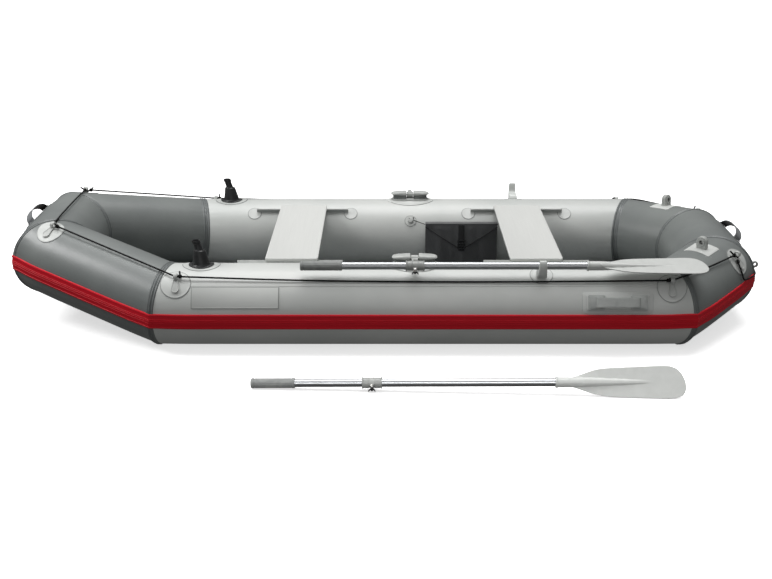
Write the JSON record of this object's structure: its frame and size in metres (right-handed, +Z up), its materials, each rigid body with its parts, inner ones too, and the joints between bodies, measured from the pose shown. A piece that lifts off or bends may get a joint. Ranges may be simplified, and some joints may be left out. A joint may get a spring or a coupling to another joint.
{
  "type": "inflatable dinghy",
  "caption": "Inflatable dinghy: tube ring with raised bow, two sliding benches, air floor, grab line, rod holders, side pouch and a pair of oars.",
  "frame": {"origin": "on the ground under the flat bottom, on the middle plane, where X is 0 amidships", "axes": "+X aft towards the stern, +Y to starboard, +Z up"},
  "size_m": [2.9358, 1.6933, 0.4182],
  "materials": {
    "side_fabric": "satin coated fabric",
    "trim_fabric": "satin coated fabric",
    "seam_tape": "ribbed tape",
    "strake_rubber": "ribbed red strake",
    "patch_fabric": "satin patch",
    "floor_fabric": "matt coated fabric",
    "bulkhead_fabric": "coated fabric inside the tubes",
    "bench_board": "faintly grained board",
    "rail_plastic": "satin moulding",
    "lock_plastic": "moulded",
    "oar_tube": "bright drawn tube",
    "oar_moulding": "moulded grey",
    "blade_plastic": "moulded pale grey",
    "bolt_steel": "stainless",
    "rope": "braided black cord",
    "lug_plastic": "satin grey moulding",
    "buckle_plastic": "glossy black moulding",
    "holder_rubber": "black moulded rubber",
    "handle_webbing": "black and grey webbing",
    "handle_rubber": "grey moulded handle",
    "pouch_cloth": "black woven cloth",
    "valve_plastic": "moulded"
  },
  "bodies": {
    "hull": {"port_tube": "side_fabric", "stern_port_tube": "trim_fabric", "stern_tube": "trim_fabric", "stern_starboard_tube": "trim_fabric", "starboard_tube": "side_fabric", "bow_starboard_tube": "trim_fabric", "bow_tube": "trim_fabric", "bow_port_tube": "trim_fabric", "seam_tapes": "seam_tape", "rub_strake": "strake_rubber", "bulkheads": "bulkhead_fabric", "bottom_sheet": "trim_fabric", "air_floor": "floor_fabric", "bench_rails": "rail_plastic", "round_patches": "patch_fabric", "oarlock_bases": "lock_plastic", "oarlock_blocks": "lock_plastic", "oarlock_pins": "bolt_steel", "oar_keepers": "lug_plastic", "rope_holder_discs": "patch_fabric", "rope_holder_lugs": "lug_plastic", "rope_port": "rope", "rope_starboard": "rope", "rope_bow": "rope", "rope_stern": "rope", "rope_knots": "rope", "pouch_cord_fore": "rope", "pouch_cord_aft": "rope", "rod_holders": "holder_rubber", "motor_lugs": "lock_plastic", "motor_lug_patches": "patch_fabric", "stern_eyes": "lug_plastic", "grab_handles": "handle_webbing", "grab_handle_patches": "trim_fabric", "carry_handles": "handle_rubber", "side_patches": "patch_fabric", "pouch_body": "pouch_cloth", "pouch_lugs": "lug_plastic", "valve_bodies": "valve_plastic"},
    "fore_bench": {"fore_bench": "bench_board", "fore_bench_clips": "rail_plastic"},
    "aft_bench": {"aft_bench": "bench_board", "aft_bench_clips": "rail_plastic"},
    "port_lug": {"port_oarlock_lug": "lug_plastic"},
    "port_oar": {"port_oar_shaft": "oar_tube", "port_oar_grip": "oar_moulding", "port_oar_blade": "blade_plastic", "port_oar_collar": "oar_moulding", "port_oar_bolts": "bolt_steel"},
    "starboard_lug": {"starboard_oarlock_lug": "lug_plastic"},
    "spare_oar": {"spare_oar_shaft": "oar_tube", "spare_oar_grip": "oar_moulding", "spare_oar_blade": "blade_plastic", "spare_oar_collar": "oar_moulding", "spare_oar_bolts": "bolt_steel"},
    "pouch_flap": {"pouch_flap": "pouch_cloth", "pouch_buckle": "buckle_plastic"},
    "fore_valve_cap": {"fore_valve_cap": "valve_plastic"},
    "aft_valve_cap": {"aft_valve_cap": "valve_plastic"},
    "floor_valve_cap": {"floor_valve_cap": "valve_plastic"}
  },
  "joints": [
    {"name": "fore_bench_slide", "type": "slide", "parent": "hull", "child": "fore_bench", "axis": [1, 0, 0], "range_m": [-0.085, 0.085]},
    {"name": "aft_bench_slide", "type": "slide", "parent": "hull", "child": "aft_bench", "axis": [1, 0, 0], "range_m": [-0.085, 0.085]},
    {"name": "port_lug_tilt", "type": "hinge", "parent": "hull", "child": "port_lug", "pos_m": [0.111, -0.4843, 0.331], "axis": [-1, 0, 0], "range_deg": [0, 75]},
    {"name": "port_oar_swivel", "type": "hinge", "parent": "port_lug", "child": "port_oar", "pos_m": [0.111, -0.5463, 0.331], "axis": [0, 0, -1], "range_deg": [-25, 0]},
    {"name": "starboard_lug_tilt", "type": "hinge", "parent": "hull", "child": "starboard_lug", "pos_m": [0.111, 0.4843, 0.331], "axis": [1, 0, 0], "range_deg": [0, 160]},
    {"name": "spare_oar_lift", "type": "slide", "parent": "hull", "child": "spare_oar", "axis": [0, 0, 1], "range_m": [0, 0.25]},
    {"name": "pouch_flap_lift", "type": "hinge", "parent": "hull", "child": "pouch_flap", "pos_m": [0.3315, 0.331, 0.2475], "axis": [-1, 0, 0], "range_deg": [0, 95]},
    {"name": "fore_valve_cap_turn", "type": "hinge", "parent": "hull", "child": "fore_valve_cap", "pos_m": [-0.64, -0.33945, 0.20136], "axis": [0, 0.9511, 0.309], "continuous": true},
    {"name": "aft_valve_cap_turn", "type": "hinge", "parent": "hull", "child": "aft_valve_cap", "pos_m": [0.88, -0.33945, 0.20136], "axis": [0, 0.9511, 0.309], "continuous": true},
    {"name": "floor_valve_cap_turn", "type": "hinge", "parent": "hull", "child": "floor_valve_cap", "pos_m": [0.82, -0.25, 0.04], "axis": [0, 0, 1], "continuous": true}
  ]
}
